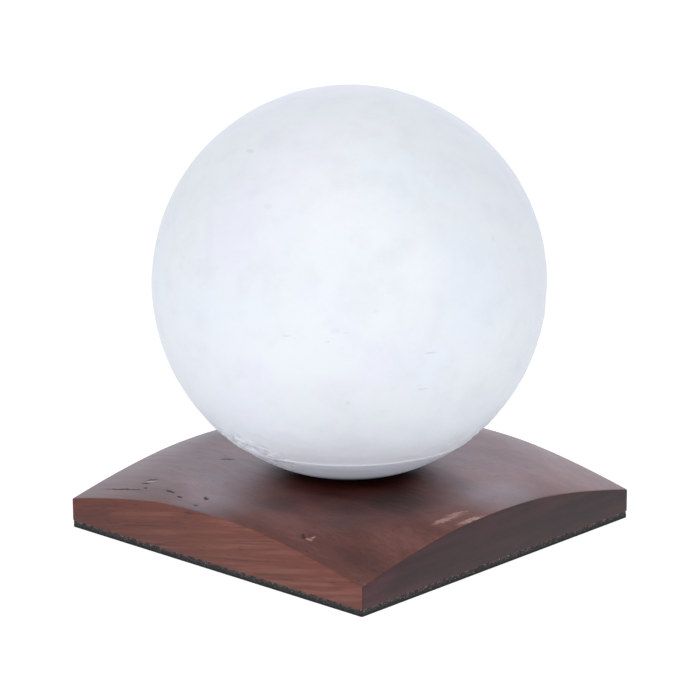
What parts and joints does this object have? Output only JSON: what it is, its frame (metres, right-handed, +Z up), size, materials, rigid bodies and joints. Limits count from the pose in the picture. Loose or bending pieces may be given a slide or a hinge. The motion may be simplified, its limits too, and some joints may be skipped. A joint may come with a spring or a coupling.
{
  "type": "levitating moon lamp",
  "caption": "White globe lamp with a magnet in its foot, resting on a crowned square walnut base that lifts it and powers its lights.",
  "frame": {"origin": "middle of the pad's underside, on the table", "axes": "+Z up through the middle of the base and the moon, +X and +Y square to the faces of the base, with the power inlet in the +Y face"},
  "size_m": [0.182, 0.182, 0.2044],
  "materials": {
    "walnut": "satin varnish",
    "pad_foam": "matt, speckled",
    "black_plastic": "matt",
    "white_print": "matt, printed in thin layers",
    "frame_plastic": "moulded",
    "bobbin_plastic": "moulded",
    "zinc_steel": "zinc plated",
    "core_steel": "turned",
    "nickel_magnet": "nickel plated",
    "ferrite_magnet": "ground",
    "brass": "turned",
    "copper_wire": "enamelled",
    "copper_foil": "bare",
    "green_board": "solder mask",
    "white_board": "white coated",
    "chip_black": "moulded",
    "capacitor_sleeve": "sleeved",
    "diode_gel": "clear gel"
  },
  "bodies": {
    "base": {"wood_body": "walnut", "base_pad": "pad_foam", "bottom_plate": "black_plastic", "plate_screws": "zinc_steel", "board_posts": "brass", "control_board": "green_board", "board_screws": "zinc_steel", "coil_drivers": "chip_black", "controller_chip": "chip_black", "choke": "ferrite_magnet", "capacitors": "capacitor_sleeve", "coil_frame": "frame_plastic", "ring_magnet": "ferrite_magnet", "coil_bobbins": "bobbin_plastic", "coil_windings": "copper_wire", "coil_cores": "core_steel", "sensor_board": "green_board", "magnetic_sensors": "chip_black", "power_ferrite": "ferrite_magnet", "power_coil": "copper_wire", "touch_foil": "copper_foil", "dc_jack": "black_plastic", "jack_pin": "zinc_steel", "jack_contact": "brass"},
    "magnet": {"float_magnet": "nickel_magnet"},
    "moon": {"moon_shell": "white_print", "bottom_cap": "white_print", "coil_carrier": "frame_plastic", "carrier_screws": "zinc_steel", "pickup_coil": "copper_wire", "lower_spacers": "brass", "receiver_board": "green_board", "receiver_parts": "chip_black", "upper_spacers": "brass", "lamp_board": "white_board", "light_diodes": "diode_gel", "lamp_screws": "zinc_steel"}
  },
  "joints": [
    {"name": "moon_lift", "type": "slide", "parent": "base", "child": "magnet", "axis": [0, 0, 1], "range_m": [0, 0.06]},
    {"name": "moon_spin", "type": "hinge", "parent": "magnet", "child": "moon", "pos_m": [0, 0, 0.1144], "axis": [0, 0, 1], "continuous": true}
  ]
}
